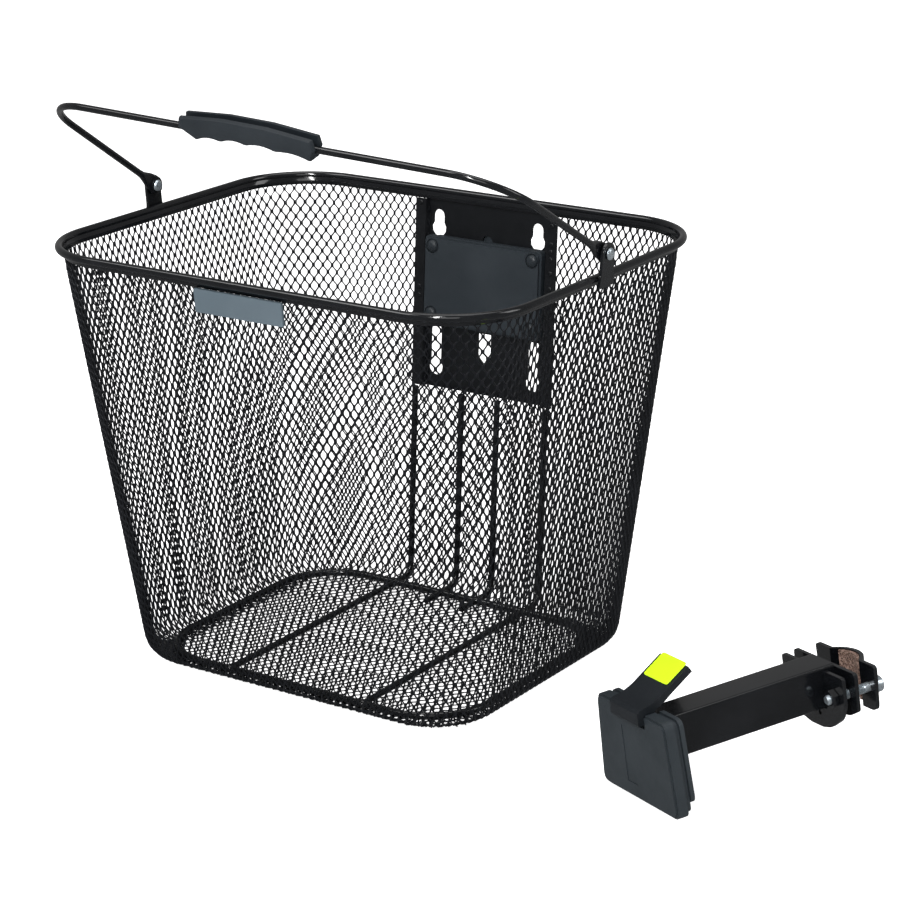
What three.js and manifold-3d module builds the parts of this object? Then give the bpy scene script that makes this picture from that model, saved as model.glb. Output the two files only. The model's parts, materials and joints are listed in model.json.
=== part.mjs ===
// Handlebar basket with its stem bracket, in millimetres, +Z up.
// Origin: centre of the basket's underside. +X is the basket's width, +Y points to the handlebar.
import * as THREE from "three";
import { mergeVertices } from "three/addons/utils/BufferGeometryUtils.js";
import Module from "manifold-3d";

const wasm = await Module();
wasm.setup();

// ---------------------------------------------------------------- driving dimensions
const GAP = 0.3; // clearance between pieces that touch
const OVERLAP = 0.1; // how far two solids run into each other where they are joined
const HEIGHT = 276; // height of the rim wire's centre
const RIM = { halfX: 171, halfY: 136, corner: 54, wire: 2.6 };
const WALL_TOP = { halfX: 168.2, front: -133.2, back: 133.2, corner: 50.6 };
const WALL_BASE = { halfX: 132, front: -106.5, back: 114, corner: 44 };
const MESH = 1.2; // thickness of the expanded metal
const HEEL = 12; // radius where the wall turns into the floor
const HEM = { low: 271, high: 273.4, thick: 1.4 };
const RING = { halfX: 119, halfY: 93, corner: 43.5, wire: 2.4, z: 3.9 };
const STAY = { wire: 2.1, outer: 53, inner: 14.5, bend: 9, foot: 1.6, stub: 16 };

const PLATE = { half: 56.5, flange: 8, low: 141, high: 270.8, sheet: 1.5, recess: 3.5, slope: 1.2, hole: 4 };
const COVER = { half: 46.7, low: 186, high: 247, thick: 6.6, corner: 4, chamfer: 1.6, sunk: 1 };
const RIVET = { x: 40, high: 240, low: 193.5, head: 4.3, shank: 2.2, tail: 3.5, flat: 1, dome: 2.4 };
const KEYHOLE = { x: 39.6, narrow: 4.3, wide: 5.9, top: 260, bottom: 251.5 };
const LOWER_SLOT = { x: 39.4, narrow: 4.3, wide: 5.8, top: 181, bottom: 155 };
const MIDDLE_SLOT = { half: 5.2, top: 183.5, bottom: 167.5 };
const RECEIVER = { half: 45, low: 183, high: 246, wall: 3.2, sunk: 1.6, hump: 22, humpHigh: 252 };
const RAIL = { top: 235.5, deep: 8.2, lip: 1.9, halfLow: 42.7, halfTop: 38.2, grip: 1.6 };
const CATCH = { half: 18, low: 231.5, high: 245 }; // window for the button of the bracket's lever

const PIVOT = { y: -3, z: 291, shank: 2, hole: 2.3, head: 3.8, headHigh: 1.6 };
const EAR = { x: 174, width: 14, sheet: 2, lean: 4.4, low: 270.5, spread: 1.5, footHigh: 9 };
const BAIL = { x: 173.3, reach: 131.15, half: 176.2, corner: 36.9, lean: 57.57, twist: 2.71, wire: 2.2 };
const PADDLE = { length: 19, eye: 6, shoulder: 7, thick: 2.2 };
const GRIP = { at: -4.5, half: 51.3, thick: 12, rise: 8.6, arch: 3, drop: 6.6, bow: 3.6, slot: 4.8, tip: 16 };
const FINGERS = { lands: [-39.5, -19.5, 0, 22, 48.5], deep: 3, land: 1 };
const BADGE = { left: -34.6, right: 32.2, low: 256.5, high: 272, thick: 2.4, corner: 1.5 };

// The bracket's own frame: +Y runs along its arm from the holder to the stem clamp.
const BRACKET = { at: [273.9, -107.3, 41.3], yaw: -28.03, pitch: 5.28, roll: -5.25 };
const ARM = { halfX: 12.2, halfZ: 13, wall: 1.8, length: 117 };
const HOLDER = { front: -16, back: -8.3, top: 21, low: -36.3, halfTop: 37.5, halfLow: 42, corner: 5 };
const FLANGES = [
  { name: "holder_guide_front", front: -8, back: -5.6, inset: 1.4, low: -34.5 },
  { name: "holder_guide_back", front: -5.3, back: -2.6, inset: 0.2, low: -29 },
];
const HOLDER_PANEL = { left: -11.5, right: -0.5, low: -27, high: 8, deep: 0.4 };
const SCREW = { x: 24, z: -22, shank: 2, head: 4.2, high: 2.6, hole: 2.4 };
const LEVER = { half: 15.5, recessHalf: 16.2, recessLow: 12.5, pinY: -11, pinZ: 18.5, pin: 1.5, pinHalf: 21.5 };
const TONGUE = { front: -19.4, heel: -7.6, under: 14.8, button: 22, tipY: 19.6, tipZ: 37.6, thick: 4.2 };
const PAD = { halfX: 13, halfY: 8.8, corner: 2, thick: 0.5, y: 11 };
const SPRING = { turns: 3, half: 3.6, coil: 2.5, wire: 0.5 };
const CLAMP = {
  half: 31.5,
  outerHalf: 30.2,
  sheet: 2.5,
  flange: 108.7,
  inner: 117.4,
  outer: 132.3,
  low: -17.5,
  high: 11.2,
};
const APRON = { low: -26.5, drain: 1.5, drainX: 4.5, drainZ: -17.5 };
const SADDLE = { half: 15.5, apex: 142.6, liner: 2 };
const BOLT = { x: 22, z: -3.5, shank: 3, hole: 3.4, head: 5, headHigh: 6, key: 2.9, end: 102.5 };
const NUT = { half: 5, high: 4 };

const rad = THREE.MathUtils.degToRad;
const lerp = THREE.MathUtils.lerp;

// ---------------------------------------------------------------- materials
const paint = new THREE.MeshStandardMaterial({ color: 0x16171a, roughness: 0.35, metalness: 0.4 });
const meshPaint = new THREE.MeshStandardMaterial({ color: 0x1b1d21, roughness: 0.5, metalness: 0.3 });
const greyPlastic = new THREE.MeshStandardMaterial({ color: 0x3b434a, roughness: 0.6 });
const darkPlastic = new THREE.MeshStandardMaterial({ color: 0x2b2f35, roughness: 0.55 });
const badgeGrey = new THREE.MeshStandardMaterial({ color: 0x5a6973, roughness: 0.45 });
const zinc = new THREE.MeshStandardMaterial({ color: 0xb9c3c9, roughness: 0.3, metalness: 0.9 });
const lime = new THREE.MeshStandardMaterial({ color: 0xd6ff28, roughness: 0.5 });
const cork = new THREE.MeshStandardMaterial({ color: 0x6b564c, roughness: 0.9 });

// ---------------------------------------------------------------- solids and booleans
function solid(geometry) {
  const g = geometry.clone();
  for (const name of ["normal", "uv"]) g.deleteAttribute(name);
  const merged = mergeVertices(g, 1e-4);
  return new wasm.Manifold(
    new wasm.Mesh({
      numProp: 3,
      vertProperties: merged.attributes.position.array,
      triVerts: new Uint32Array(merged.index.array),
    }),
  );
}

function geometryOf(manifold) {
  const mesh = manifold.getMesh();
  const g = new THREE.BufferGeometry();
  g.setAttribute("position", new THREE.BufferAttribute(mesh.vertProperties, 3));
  g.setIndex(new THREE.BufferAttribute(mesh.triVerts, 1));
  return g;
}

function cut(base, ...tools) {
  return geometryOf(tools.reduce((left, tool) => left.subtract(solid(tool)), solid(base)));
}

function join(base, ...others) {
  return geometryOf(others.reduce((sum, other) => sum.add(solid(other)), solid(base)));
}

function node(parent, name, geometry, material) {
  const mesh = new THREE.Mesh(geometry, material);
  mesh.name = name;
  parent.add(mesh);
  return mesh;
}

// A box from its lowest to its highest corner.
function box(low, high) {
  const [x, y, z] = high.map((v, i) => v - low[i]);
  return new THREE.BoxGeometry(x, y, z).translate(low[0] + x / 2, low[1] + y / 2, low[2] + z / 2);
}

// A cylinder between two values along X or Y.
function rodX(radius, from, to, y, z, sides = 20) {
  const g = new THREE.CylinderGeometry(radius, radius, to - from, sides);
  return g.rotateZ(-Math.PI / 2).translate((from + to) / 2, y, z);
}

function rodY(radius, from, to, x, z, sides = 20) {
  return new THREE.CylinderGeometry(radius, radius, to - from, sides).translate(x, (from + to) / 2, z);
}

// A flat outline in (x, z), extruded along Y from front to back.
function slabXZ(shape, front, back, steps = 4) {
  const g = new THREE.ExtrudeGeometry(shape, {
    depth: back - front,
    bevelEnabled: false,
    curveSegments: steps,
  });
  return g.rotateX(Math.PI / 2).translate(0, back, 0);
}

// An outline in (y, z), extruded along X from left to right.
function slabYZ(shape, left, right, steps = 6) {
  const g = new THREE.ExtrudeGeometry(shape, {
    depth: right - left,
    bevelEnabled: false,
    curveSegments: steps,
  });
  return g.rotateY(Math.PI / 2).rotateX(Math.PI / 2).translate(left, 0, 0);
}

// A profile of [radius, height] points turned about Y.
function turned(profile, sides) {
  return new THREE.LatheGeometry(
    profile.map(([r, y]) => new THREE.Vector2(r, y)),
    sides,
  );
}

function polygon(points) {
  return new THREE.Shape(points.map(([x, y]) => new THREE.Vector2(x, y)));
}

// Polygon with each corner rounded by its own radius: points are [x, y, radius].
function roundedPolygon(points) {
  const shape = new THREE.Shape();
  points.forEach(([x, y, r], i) => {
    const before = points[(i + points.length - 1) % points.length];
    const after = points[(i + 1) % points.length];
    const here = new THREE.Vector2(x, y);
    const towards = (p) => new THREE.Vector2(p[0], p[1]).sub(here).normalize().multiplyScalar(r).add(here);
    const a = towards(before);
    const b = towards(after);
    if (i === 0) shape.moveTo(a.x, a.y);
    else shape.lineTo(a.x, a.y);
    if (r > 0) shape.quadraticCurveTo(x, y, b.x, b.y);
  });
  return shape;
}

// Keyhole outline in (x, z): a narrow round end and a wide one, joined by straight sides.
function keyhole(x, narrow, narrowZ, wide, wideZ) {
  const up = Math.sign(narrowZ - wideZ);
  const turn = Math.asin(narrow / wide);
  const shape = new THREE.Shape();
  const start = up > 0 ? 0 : Math.PI;
  shape.absarc(x, narrowZ, narrow, start, start + Math.PI, false);
  shape.absarc(x, wideZ, wide, start + Math.PI / 2 + turn, start + Math.PI * 2.5 - turn, false);
  return shape;
}

// A round wire along a curve, with flat ends.
class PathThrough extends THREE.Curve {
  constructor(at) {
    super();
    this.at = at;
  }

  getPoint(t) {
    return this.at(t);
  }
}

function wire(curve, radius, steps, sides = 8) {
  const circle = new THREE.Shape();
  circle.absarc(0, 0, radius, 0, Math.PI * 2, false);
  return new THREE.ExtrudeGeometry(circle, { steps, extrudePath: curve, curveSegments: sides / 2 });
}

// ---------------------------------------------------------------- the basket's outline
// Wall outline at a height: half width, centre and half depth in Y, and corner radius.
function wallAt(z) {
  const t = z / HEIGHT;
  const front = lerp(WALL_BASE.front, WALL_TOP.front, t);
  const back = lerp(WALL_BASE.back, WALL_TOP.back, t);
  return {
    halfX: lerp(WALL_BASE.halfX, WALL_TOP.halfX, t),
    halfY: (back - front) / 2,
    midY: (back + front) / 2,
    corner: lerp(WALL_BASE.corner, WALL_TOP.corner, t),
  };
}

// Corners are counted from back right, anticlockwise. Angle is the direction a corner's point faces.
const CORNERS = [
  [1, 1],
  [-1, 1],
  [-1, -1],
  [1, -1],
];

function cornerPoint(outline, corner, angle, inset, z) {
  const [sx, sy] = CORNERS[corner];
  const r = outline.corner - inset;
  return [
    sx * (outline.halfX - outline.corner) + r * Math.cos(angle),
    outline.midY + sy * (outline.halfY - outline.corner) + r * Math.sin(angle),
    z,
  ];
}

function cornerStops(corner, steps) {
  const stops = [];
  for (let i = 0; i <= steps; i++) stops.push([corner, ((corner + i / steps) * Math.PI) / 2]);
  return stops;
}

const allStops = (steps) => CORNERS.flatMap((_, corner) => cornerStops(corner, steps));

// Closed surface from rings of points, with the two ends filled when it is not closed on itself.
function skin(rings, closed) {
  const n = rings[0].length;
  const position = rings.flat(2);
  const index = [];
  const last = closed ? rings.length : rings.length - 1;
  for (let i = 0; i < last; i++) {
    const a = i * n;
    const b = ((i + 1) % rings.length) * n;
    for (let j = 0; j < n; j++) {
      const k = (j + 1) % n;
      index.push(a + j, b + j, b + k, a + j, b + k, a + k);
    }
  }
  if (!closed) {
    for (let j = 1; j < n - 1; j++) {
      index.push(0, j, j + 1);
      index.push(last * n, last * n + j + 1, last * n + j);
    }
  }
  const g = new THREE.BufferGeometry();
  g.setAttribute("position", new THREE.Float32BufferAttribute(position, 3));
  g.setIndex(index);
  return g.toNonIndexed();
}

// Part of the wall: a sheet between two heights, along the given stops of the outline.
function sheet(stops, low, high, thick, closed = false) {
  const section = [
    [-thick / 2, low],
    [-thick / 2, high],
    [thick / 2, high],
    [thick / 2, low],
  ];
  const rings = stops.map(([corner, angle]) =>
    section.map(([inset, z]) => cornerPoint(wallAt(z), corner, angle, inset, z)),
  );
  return skin(rings, closed);
}

// Rounded-rectangle loop at a constant height.
function loop({ halfX, halfY, corner }, z) {
  const outline = { halfX, halfY, corner, midY: 0 };
  const sides = [2 * (halfY - corner), 2 * (halfX - corner)];
  const arc = (Math.PI / 2) * corner;
  const length = 2 * (sides[0] + sides[1]) + 4 * arc;
  return new PathThrough((t) => {
    let along = (t % 1) * length;
    let i = 0;
    while (i < 3 && along > arc + sides[(i + 1) % 2]) {
      along -= arc + sides[(i + 1) % 2];
      i++;
    }
    const turned = Math.min(along / arc, 1);
    const start = new THREE.Vector3(...cornerPoint(outline, i, ((i + turned) * Math.PI) / 2, 0, z));
    const past = Math.max(along - arc, 0);
    const heading = ((i + 2) * Math.PI) / 2;
    return start.add(new THREE.Vector3(Math.cos(heading), Math.sin(heading), 0).multiplyScalar(past));
  });
}

function closedWire(outline, z, radius, steps, sides) {
  return new THREE.TubeGeometry(loop(outline, z), steps, radius, sides, true);
}

// ---------------------------------------------------------------- basket shell
const root = new THREE.Group();
const basket = new THREE.Group();
root.add(basket);

node(basket, "rim_wire", closedWire(RIM, HEIGHT, RIM.wire, 72, 8), paint);
node(basket, "rim_hem", sheet(allStops(6), HEM.low, HEM.high, HEM.thick, true), paint);
node(basket, "bottom_ring", closedWire(RING, RING.z, RING.wire, 60, 8), paint);

// The floor is a shallow tray whose edge turns up into the wall.
function loftTray(inset, lift) {
  const steps = 4;
  const rings = [];
  for (let i = 0; i <= steps; i++) {
    const a = (Math.PI / 2) * (1 - i / steps);
    const z = HEEL * (1 - Math.sin(a));
    const pull = HEEL * (1 - Math.cos(a)) - MESH / 2 + inset;
    const ring = allStops(6).map(([c, angle]) => cornerPoint(wallAt(z), c, angle, pull, z + lift));
    rings.push(ring.reverse());
  }
  return skin(rings, false);
}
node(basket, "mesh_floor", cut(loftTray(0, 0), loftTray(MESH, MESH)), meshPaint);

const wallLow = HEEL + GAP;
const wallHigh = HEM.low - GAP;
const corner = (i) => cornerStops(i, 5);
const joint = (i, part) => corner(i).at(part);
["back_right", "back_left", "front_left", "front_right"].forEach((name, i) => {
  node(basket, `mesh_corner_${name}`, sheet(corner(i), wallLow, wallHigh, MESH), meshPaint);
});

// Flat panels stand a little clear of the corners, so each is its own solid.
function panel(from, to, low, high) {
  const made = sheet([joint(from, -1), joint(to, 0)], low, high, MESH);
  const position = made.attributes.position;
  const side = from % 2 === 0 ? 0 : 1; // X for the back and front panels, Y for the side panels
  made.computeBoundingBox();
  const middle = (made.boundingBox.min.getComponent(side) + made.boundingBox.max.getComponent(side)) / 2;
  for (let i = 0; i < position.count; i++) {
    const value = position.getComponent(i, side);
    position.setComponent(i, side, value - Math.sign(value - middle) * GAP);
  }
  return made;
}
node(basket, "mesh_left", panel(1, 2, wallLow, wallHigh), meshPaint);
node(basket, "mesh_front", panel(2, 3, wallLow, wallHigh), meshPaint);
node(basket, "mesh_right", panel(3, 0, wallLow, wallHigh), meshPaint);
const belowPlate = PLATE.low - 1;
node(basket, "mesh_back_lower", panel(0, 1, wallLow, belowPlate), meshPaint);

const meshEdge = PLATE.half - PLATE.flange + 1.4; // the mesh ends just beside the plate's recess
const upperBack = panel(0, 1, PLATE.low, wallHigh);
const FAR = 300;
node(basket, "mesh_back_left", cut(upperBack, box([-meshEdge, 0, 0], [FAR, FAR, FAR])), meshPaint);
node(basket, "mesh_back_right", cut(upperBack, box([-FAR, 0, 0], [meshEdge, FAR, FAR])), meshPaint);

// ---------------------------------------------------------------- wires under the load
const backTilt = Math.atan2(WALL_TOP.back - WALL_BASE.back, HEIGHT);
const stayInset = MESH / 2 + GAP + STAY.wire;
const backWallY = (z) => lerp(WALL_BASE.back, WALL_TOP.back, z / HEIGHT) - stayInset;

// Down the back wall, round a bend at the foot, and up to the ring.
function stay(x) {
  const top = new THREE.Vector3(x, backWallY(belowPlate), belowPlate);
  const knee = new THREE.Vector3(x, backWallY(HEEL + STAY.bend), HEEL + STAY.bend);
  const foot = new THREE.Vector3(x, RING.halfY + RING.wire + GAP, RING.z);
  const path = new THREE.CurvePath();
  path.add(new THREE.LineCurve3(top, knee));
  const corner = new THREE.Vector3(x, backWallY(RING.z) - STAY.foot, RING.z);
  path.add(new THREE.QuadraticBezierCurve3(knee, corner, foot));
  return wire(path, STAY.wire, 18, 6);
}

function floorWire(x, from, to) {
  const line = new THREE.LineCurve3(new THREE.Vector3(x, from, RING.z), new THREE.Vector3(x, to, RING.z));
  return wire(line, STAY.wire, 1, 6);
}
const ringInside = RING.halfY - RING.wire - GAP;
for (const [side, sign] of [
  ["left", -1],
  ["right", 1],
]) {
  node(basket, `stay_outer_${side}`, stay(sign * STAY.outer), paint);
  node(basket, `stay_inner_${side}`, stay(sign * STAY.inner), paint);
  node(basket, `floor_wire_${side}`, floorWire(sign * STAY.outer, -ringInside, ringInside), paint);
  node(basket, `floor_stub_${side}`, floorWire(sign * STAY.inner, ringInside - STAY.stub, ringInside), paint);
}

// ---------------------------------------------------------------- mounting plate, cover and receiver
// This group lies in the back wall: +Y points out of the basket, +Z up the wall.
const backWall = new THREE.Group();
backWall.position.set(0, WALL_BASE.back, 0);
backWall.rotation.x = -backTilt;
basket.add(backWall);

const flangeFront = -MESH / 2 - GAP - PLATE.sheet;
const panelFront = flangeFront + PLATE.recess;
const panelBack = panelFront + PLATE.sheet;

function mountingPlate() {
  const edge = PLATE.half;
  const step = PLATE.half - PLATE.flange;
  const widen = 0.8; // keeps the sloping side of the recess as thick as the sheet
  const front = [
    [edge, flangeFront],
    [step, flangeFront],
    [step - PLATE.slope, panelFront],
  ];
  const back = [
    [step - PLATE.slope + widen, panelBack],
    [step + widen, flangeFront + PLATE.sheet],
    [edge, flangeFront + PLATE.sheet],
  ];
  const mirror = (points) => points.map(([x, y]) => [-x, y]).reverse();
  const section = polygon([...front, ...mirror(front), ...mirror(back), ...back]);
  const hat = new THREE.ExtrudeGeometry(section, { depth: PLATE.high - PLATE.low, bevelEnabled: false });
  hat.translate(0, 0, PLATE.low);
  const through = (shape) => slabXZ(shape, -20, 20);
  const holes = [];
  for (const x of [-1, 1]) {
    const upper = keyhole(x * KEYHOLE.x, KEYHOLE.narrow, KEYHOLE.top, KEYHOLE.wide, KEYHOLE.bottom);
    const { narrow, wide, top, bottom } = LOWER_SLOT;
    holes.push(through(upper), through(keyhole(x * LOWER_SLOT.x, narrow, top, wide, bottom)));
  }
  const m = MIDDLE_SLOT;
  const tip = [0, m.bottom - m.half, 1];
  const slot = [[-m.half, m.top, 1], [-m.half, m.bottom, 2], tip, [m.half, m.bottom, 2], [m.half, m.top, 1]];
  holes.push(through(roundedPolygon(slot)));
  holes.push(rodY(PLATE.hole, -20, 20, 0, COVER.high));
  for (const [x, z] of rivetPlaces()) holes.push(rodY(RIVET.shank + GAP, -20, 20, x, z, 12));
  return cut(hat, ...holes);
}

function rivetPlaces() {
  return [-1, 1].flatMap((side) => [RIVET.high, RIVET.low].map((z) => [side * RIVET.x, z]));
}

node(backWall, "mounting_plate", mountingPlate(), paint);

const coverBack = panelFront - GAP;
const coverFront = coverBack - COVER.thick;
function coverPlate() {
  const { half, low, high, corner, chamfer, sunk } = COVER;
  const outline = (inset) =>
    roundedPolygon([
      [-half + inset, low + inset, corner],
      [half - inset, low + inset, corner],
      [half - inset, high - inset, corner],
      [-half + inset, high - inset, corner],
    ]);
  const body = join(
    slabXZ(outline(0), coverFront + chamfer, coverBack),
    slabXZ(outline(chamfer), coverFront, coverFront + chamfer + OVERLAP),
  );
  const holes = rivetPlaces().flatMap(([x, z]) => [
    rodY(RIVET.shank + GAP, -40, 40, x, z, 12),
    rodY(RIVET.head + 0.8, coverFront - 1, coverFront + sunk, x, z, 18),
  ]);
  // The plate's upper keyholes stay free above it.
  for (const x of [-1, 1]) {
    const { narrow, top, wide, bottom } = KEYHOLE;
    holes.push(slabXZ(keyhole(x * KEYHOLE.x, narrow, top, wide, bottom), -40, 40));
  }
  return cut(body, ...holes);
}
node(backWall, "cover_plate", coverPlate(), greyPlastic);

// The receiver on the outside: a plate with two tapering rails, which the bracket's holder
// wedges into from below, and a window that catches the lever's button.
const receiverFront = panelBack + GAP;
function receiver() {
  const { half, low, high, wall, sunk, hump, humpHigh } = RECEIVER;
  const { top, deep, lip, halfLow, halfTop, grip } = RAIL;
  const inside = receiverFront + wall;
  const back = inside + deep + lip;
  const plate = slabXZ(
    roundedPolygon([
      [-half, low, 3],
      [half, low, 3],
      [half, high, 4],
      [hump + 6, high, 2],
      [hump, humpHigh, 3],
      [-hump, humpHigh, 3],
      [-hump - 6, high, 2],
      [-half, high, 4],
    ]),
    receiverFront,
    inside,
  );
  const rails = box([-half, inside - OVERLAP, low + 3], [half, back, top]);
  const wedge = (inset, from, to) =>
    slabXZ(
      polygon([
        [-halfLow + inset, low - 1],
        [halfLow - inset, low - 1],
        [halfTop - inset, top + 1],
        [-halfTop + inset, top + 1],
      ]),
      from,
      to,
    );
  const pocket = wedge(0, inside, inside + deep);
  const mouth = wedge(grip, inside + deep - 1, back + 1);
  const window = box([-CATCH.half, receiverFront - 1, CATCH.low], [CATCH.half, back + 1, CATCH.high]);
  const holes = rivetPlaces().flatMap(([x, z]) => [
    rodY(RIVET.shank + GAP, 0, inside + 1, x, z, 12),
    rodY(RIVET.tail + 0.5, inside - sunk, back + 1, x, z, 18),
  ]);
  return cut(join(plate, rails), pocket, mouth, window, ...holes);
}
node(backWall, "receiver", receiver(), greyPlastic);

// Rivets: a low dome inside, a shank through cover, plate and receiver, and a flat head sunk in its wall.
function rivet(x, z) {
  const { head, shank, tail, flat, dome } = RIVET;
  const seat = coverFront + COVER.sunk - GAP;
  const end = receiverFront + RECEIVER.wall - RECEIVER.sunk + GAP;
  const under = end - seat + flat;
  const rim = under + 0.4;
  const profile = [[0, 0], [tail, 0], [tail, flat], [shank, flat], [shank, under], [head, under]];
  for (let i = 0; i <= 4; i++) {
    const a = (i / 4) * (Math.PI / 2);
    profile.push([head * Math.cos(a), rim + dome * Math.sin(a)]);
  }
  return turned(profile, 16).rotateX(Math.PI).translate(x, end + flat, z);
}
rivetPlaces().forEach(([x, z], i) => {
  const name = ["left_high", "left_low", "right_high", "right_low"][i];
  node(backWall, `cover_rivet_${name}`, rivet(x, z), darkPlastic);
});

// ---------------------------------------------------------------- badge
const frontWall = new THREE.Group();
frontWall.position.set(0, WALL_BASE.front, 0);
frontWall.rotation.x = Math.atan2(WALL_BASE.front - WALL_TOP.front, HEIGHT);
basket.add(frontWall);
const badgeBack = -HEM.thick / 2 - GAP;
const badgeShape = roundedPolygon([
  [BADGE.left, BADGE.low, BADGE.corner],
  [BADGE.right, BADGE.low, BADGE.corner],
  [BADGE.right, BADGE.high, BADGE.corner],
  [BADGE.left, BADGE.high, BADGE.corner],
]);
node(frontWall, "badge", slabXZ(badgeShape, badgeBack - BADGE.thick, badgeBack), badgeGrey);

// ---------------------------------------------------------------- ears, pivots and bail
// Each ear leans out with the wall. It is hinged about the point where it meets the rim.
const earSlope = Math.tan(rad(EAR.lean));
const earAtPivot = EAR.x + (PIVOT.z - HEIGHT) * earSlope;
function ear() {
  const half = EAR.width / 2;
  const foot = half + EAR.spread;
  const shape = new THREE.Shape();
  shape.moveTo(-foot, EAR.low);
  shape.lineTo(foot, EAR.low);
  shape.lineTo(half, EAR.low + EAR.footHigh);
  shape.lineTo(half, PIVOT.z);
  shape.absarc(0, PIVOT.z, half, 0, Math.PI, false);
  shape.lineTo(-half, EAR.low + EAR.footHigh);
  const plate = slabYZ(shape, EAR.x, EAR.x + EAR.sheet).translate(-EAR.x, 0, -HEIGHT);
  const leaning = plate.rotateY(rad(EAR.lean)).translate(EAR.x, PIVOT.y, HEIGHT);
  return cut(leaning, rodX(PIVOT.hole, EAR.x - 5, EAR.x + 10, PIVOT.y, PIVOT.z));
}

// Hollow-looking rivet: shank through ear and paddle, with a head on each side.
function pivotRivet() {
  const inner = BAIL.x - PADDLE.thick / 2 - GAP;
  const outer = earAtPivot + EAR.sheet + PIVOT.head * earSlope + GAP;
  const { head: r, headHigh } = PIVOT;
  const profile = [
    [0, inner - headHigh + 0.6],
    [r * 0.45, inner - headHigh],
    [r * 0.8, inner - headHigh],
    [r, inner - 0.5],
    [r, inner],
    [PIVOT.shank, inner],
    [PIVOT.shank, outer],
    [r, outer],
    [r, outer + 0.6],
    [r * 0.7, outer + headHigh],
    [0, outer + headHigh],
  ];
  return turned(profile, 20).rotateZ(-Math.PI / 2).translate(0, PIVOT.y, PIVOT.z);
}

function mirrored(geometry) {
  const g = geometry.clone().scale(-1, 1, 1);
  const flat = g.index ? g.toNonIndexed() : g;
  const p = flat.attributes.position.array;
  for (let i = 0; i < p.length; i += 9) {
    for (let k = 0; k < 3; k++) [p[i + 3 + k], p[i + 6 + k]] = [p[i + 6 + k], p[i + 3 + k]];
  }
  return flat;
}

for (const [name, geometry, material] of [
  ["ear", ear(), paint],
  ["pivot_rivet", pivotRivet(), zinc],
]) {
  node(basket, `${name}_right`, geometry, material);
  node(basket, `${name}_left`, mirrored(geometry), material);
}

// The bail lies on its stop. Each arm has its own lean, so the bar is slightly twisted.
const leanAt = (x) => rad(BAIL.lean + (BAIL.twist * x) / BAIL.half);
function bailPoint(x, reach) {
  const lean = leanAt(x);
  return new THREE.Vector3(x, PIVOT.y - Math.sin(lean) * reach, PIVOT.z + Math.cos(lean) * reach);
}

function bailCurve() {
  const start = new THREE.Vector2(BAIL.x, PADDLE.length - 2);
  const tip = new THREE.Vector2(BAIL.half, BAIL.reach);
  const up = tip.clone().sub(start).normalize();
  const turn = Math.PI - Math.acos(up.x);
  const trim = BAIL.corner * Math.tan(turn / 2);
  const armLength = tip.distanceTo(start) - trim;
  const arc = BAIL.corner * turn;
  const bar = tip.x - trim;
  const half = armLength + arc + bar;
  const armEnd = start.clone().addScaledVector(up, armLength);
  const centre = new THREE.Vector2(tip.x - trim, tip.y - BAIL.corner);
  return new PathThrough((t) => {
    const along = Math.abs(t - 0.5) * 2 * half;
    const sign = t < 0.5 ? -1 : 1;
    const p = new THREE.Vector2();
    if (along <= bar) p.set(along, tip.y);
    else if (along <= bar + arc) {
      const a = Math.PI / 2 - (along - bar) / BAIL.corner;
      p.set(centre.x + BAIL.corner * Math.cos(a), centre.y + BAIL.corner * Math.sin(a));
    } else p.copy(armEnd).addScaledVector(up, bar + arc - along);
    return bailPoint(sign * p.x, p.y);
  });
}

// Flattened end of the bail wire, with the pivot's eye. Its length runs up from the pivot.
function paddle(sign) {
  const { length, eye, shoulder, thick } = PADDLE;
  const neck = BAIL.wire + 0.4;
  const shape = new THREE.Shape();
  shape.absarc(0, 0, eye, Math.PI, 0, false);
  shape.lineTo(eye - 1, shoulder);
  shape.lineTo(neck, length);
  shape.lineTo(-neck, length);
  shape.lineTo(-eye + 1, shoulder);
  const x = sign * BAIL.x;
  const plate = slabYZ(shape, x - thick / 2, x + thick / 2);
  const drilled = cut(plate, rodX(PIVOT.hole, x - 5, x + 5, 0, 0));
  return drilled.rotateX(leanAt(x)).translate(0, PIVOT.y, PIVOT.z);
}
const bailWire = wire(bailCurve(), BAIL.wire, 84, 8);
node(basket, "bail_wire", join(bailWire, paddle(-1), paddle(1)), paint);

// Grip: a moulded channel clipped over the bar, with an arched back and four finger hollows.
// Its slot is on top, tipped a little to the front.
function grip() {
  const { half, thick, rise, arch, drop, bow, slot } = GRIP;
  const { lands, deep, land } = FINGERS;
  const low = (x) => -drop + bow * (1 - (x / half) ** 2);
  const shape = new THREE.Shape();
  shape.moveTo(lands[0] + land, low(lands[0]));
  for (let i = 1; i < lands.length; i++) {
    const middle = (lands[i - 1] + lands[i]) / 2;
    const end = lands[i] - land;
    shape.quadraticCurveTo(middle, low(middle) + deep, end, low(end));
    if (i < lands.length - 1) shape.lineTo(lands[i] + land, low(lands[i] + land));
  }
  shape.lineTo(half, 1);
  shape.lineTo(half - 1, rise - 1);
  shape.quadraticCurveTo(0, rise + 2 * arch, -half + 2, rise);
  shape.lineTo(-half, 2);
  const bevel = 2;
  const body = new THREE.ExtrudeGeometry(shape, {
    depth: thick - 2 * bevel,
    bevelThickness: bevel,
    bevelSize: bevel,
    bevelOffset: -bevel,
    bevelSegments: 2,
    curveSegments: 6,
  });
  body.rotateX(Math.PI / 2).translate(0, thick / 2 - bevel, 0);
  const seat = BAIL.wire + GAP;
  const bore = rodX(seat, -half - 5, half + 5, 0, 0, 16);
  const channel = box([-half - 5, -slot / 2, 0], [half + 5, slot / 2, rise + 2 * arch + 5]);
  return cut(body, bore, channel);
}
const barLeft = bailPoint(GRIP.at - GRIP.half, BAIL.reach);
const barRight = bailPoint(GRIP.at + GRIP.half, BAIL.reach);
const barAlong = barRight.clone().sub(barLeft).normalize();
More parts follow.
